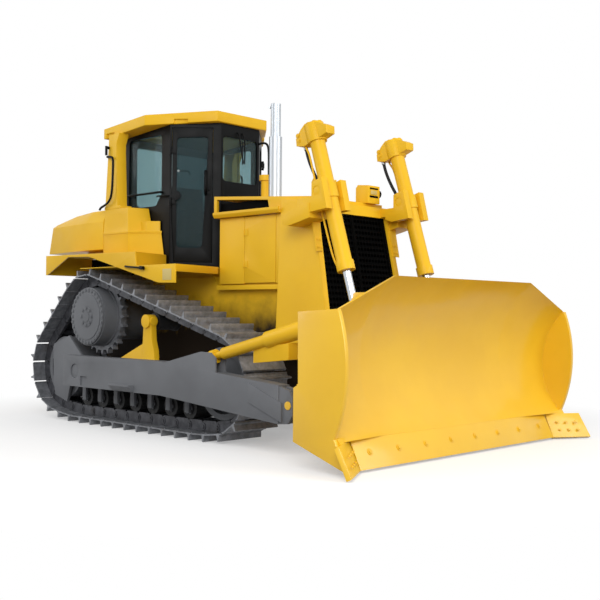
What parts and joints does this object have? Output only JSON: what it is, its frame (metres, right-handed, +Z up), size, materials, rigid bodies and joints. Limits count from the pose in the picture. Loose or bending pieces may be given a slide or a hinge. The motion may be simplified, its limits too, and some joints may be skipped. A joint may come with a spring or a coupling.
{
  "type": "crawler bulldozer",
  "caption": "Crawler tractor with raised drive sprockets, closed cab with roll-over frame, and a curved winged blade on side push arms with two upright lift cylinders.",
  "frame": {"origin": "middle of the machine's overall box, on the ground under the grousers", "axes": "+X forward towards the blade, +Y to the machine's left, +Z up"},
  "size_m": [6.0096, 3.7632, 3.503],
  "materials": {
    "aluminised_steel": "heat-proof aluminium coating",
    "black_paint": "satin black paint",
    "cab_glass": "tinted safety glass",
    "cab_plastic": "moulded black plastic",
    "chrome_rod": "hard chrome",
    "grey_paint": "dusty grey undercarriage paint",
    "lamp_lens": "clear lens",
    "seat_vinyl": "black vinyl",
    "track_steel": "ground steel, soil stained",
    "yellow_paint": "worn construction yellow enamel"
  },
  "bodies": {
    "machine": {"air_intake": "yellow_paint", "cab_roof": "yellow_paint", "cab_shell": "black_paint", "cab_windows": "cab_glass", "carrier_posts": "yellow_paint", "consoles": "cab_plastic", "cross_members": "grey_paint", "drawbar": "yellow_paint", "engine": "black_paint", "exhaust_stack": "aluminised_steel", "fenders": "yellow_paint", "final_drives": "grey_paint", "fuel_tank": "yellow_paint", "grille": "black_paint", "hood": "yellow_paint", "idlers": "grey_paint", "lamp": "lamp_lens", "lamp_box": "yellow_paint", "lift_mounts": "yellow_paint", "main_frame": "yellow_paint", "radiator": "black_paint", "radiator_guard": "yellow_paint", "roller_frames": "grey_paint", "rops_posts": "yellow_paint", "seat": "seat_vinyl", "side_boxes": "yellow_paint", "side_panels": "yellow_paint", "sprockets": "track_steel", "track_left": "track_steel", "track_right": "track_steel", "track_rollers": "grey_paint"},
    "blade": {"push_arms": "grey_paint", "tilt_struts": "yellow_paint", "moldboard": "yellow_paint", "blade_back": "yellow_paint", "cutting_edges": "yellow_paint"},
    "lift_barrel_left": {"lift_barrel_left": "yellow_paint"},
    "lift_barrel_right": {"lift_barrel_right": "yellow_paint"},
    "lift_rod_left": {"lift_rod_left": "chrome_rod"},
    "lift_rod_right": {"lift_rod_right": "chrome_rod"},
    "cab_door_left": {"cab_door_left": "black_paint", "door_glass_left": "cab_glass"},
    "cab_door_right": {"cab_door_right": "black_paint", "door_glass_right": "cab_glass"},
    "engine_door_left": {"engine_door_left": "yellow_paint"},
    "engine_door_right": {"engine_door_right": "yellow_paint"}
  },
  "joints": [
    {"name": "blade_lift", "type": "hinge", "parent": "machine", "child": "blade", "pos_m": [-1.44015, 0, 0.604], "axis": [0, -1, 0], "range_deg": [-5.5, 14.5]},
    {"name": "barrel_left", "type": "hinge", "parent": "machine", "child": "lift_barrel_left", "pos_m": [1.60185, 0.612, 2.411], "axis": [0, -1, 0], "range_deg": [-3.5, 8.4]},
    {"name": "rod_left", "type": "slide", "parent": "lift_barrel_left", "child": "lift_rod_left", "axis": [0.294, 0, -0.9558], "range_m": [-0.8869, 0.3414]},
    {"name": "cab_door_left", "type": "hinge", "parent": "machine", "child": "cab_door_left", "pos_m": [-0.69978, 0.70657, 2.458], "axis": [0, 0, 1], "range_deg": [0, 100]},
    {"name": "engine_door_left", "type": "hinge", "parent": "machine", "child": "engine_door_left", "pos_m": [0.33785, 0.54, 1.736], "axis": [0, 0, 1], "range_deg": [0, 100]},
    {"name": "barrel_right", "type": "hinge", "parent": "machine", "child": "lift_barrel_right", "pos_m": [1.60185, -0.612, 2.411], "axis": [0, -1, 0], "range_deg": [-3.5, 8.4]},
    {"name": "rod_right", "type": "slide", "parent": "lift_barrel_right", "child": "lift_rod_right", "axis": [0.294, 0, -0.9558], "range_m": [-0.8869, 0.3414]},
    {"name": "cab_door_right", "type": "hinge", "parent": "machine", "child": "cab_door_right", "pos_m": [-0.69978, -0.70657, 2.458], "axis": [0, 0, -1], "range_deg": [0, 100]},
    {"name": "engine_door_right", "type": "hinge", "parent": "machine", "child": "engine_door_right", "pos_m": [0.33785, -0.54, 1.736], "axis": [0, 0, -1], "range_deg": [0, 100]}
  ],
  "couplings": [
    {"joint": "barrel_left", "follows": "blade_lift", "ratio": 0.545},
    {"joint": "rod_left", "follows": "blade_lift", "m_per_rad": -3.473},
    {"joint": "barrel_right", "follows": "blade_lift", "ratio": 0.545},
    {"joint": "rod_right", "follows": "blade_lift", "m_per_rad": -3.473}
  ]
}
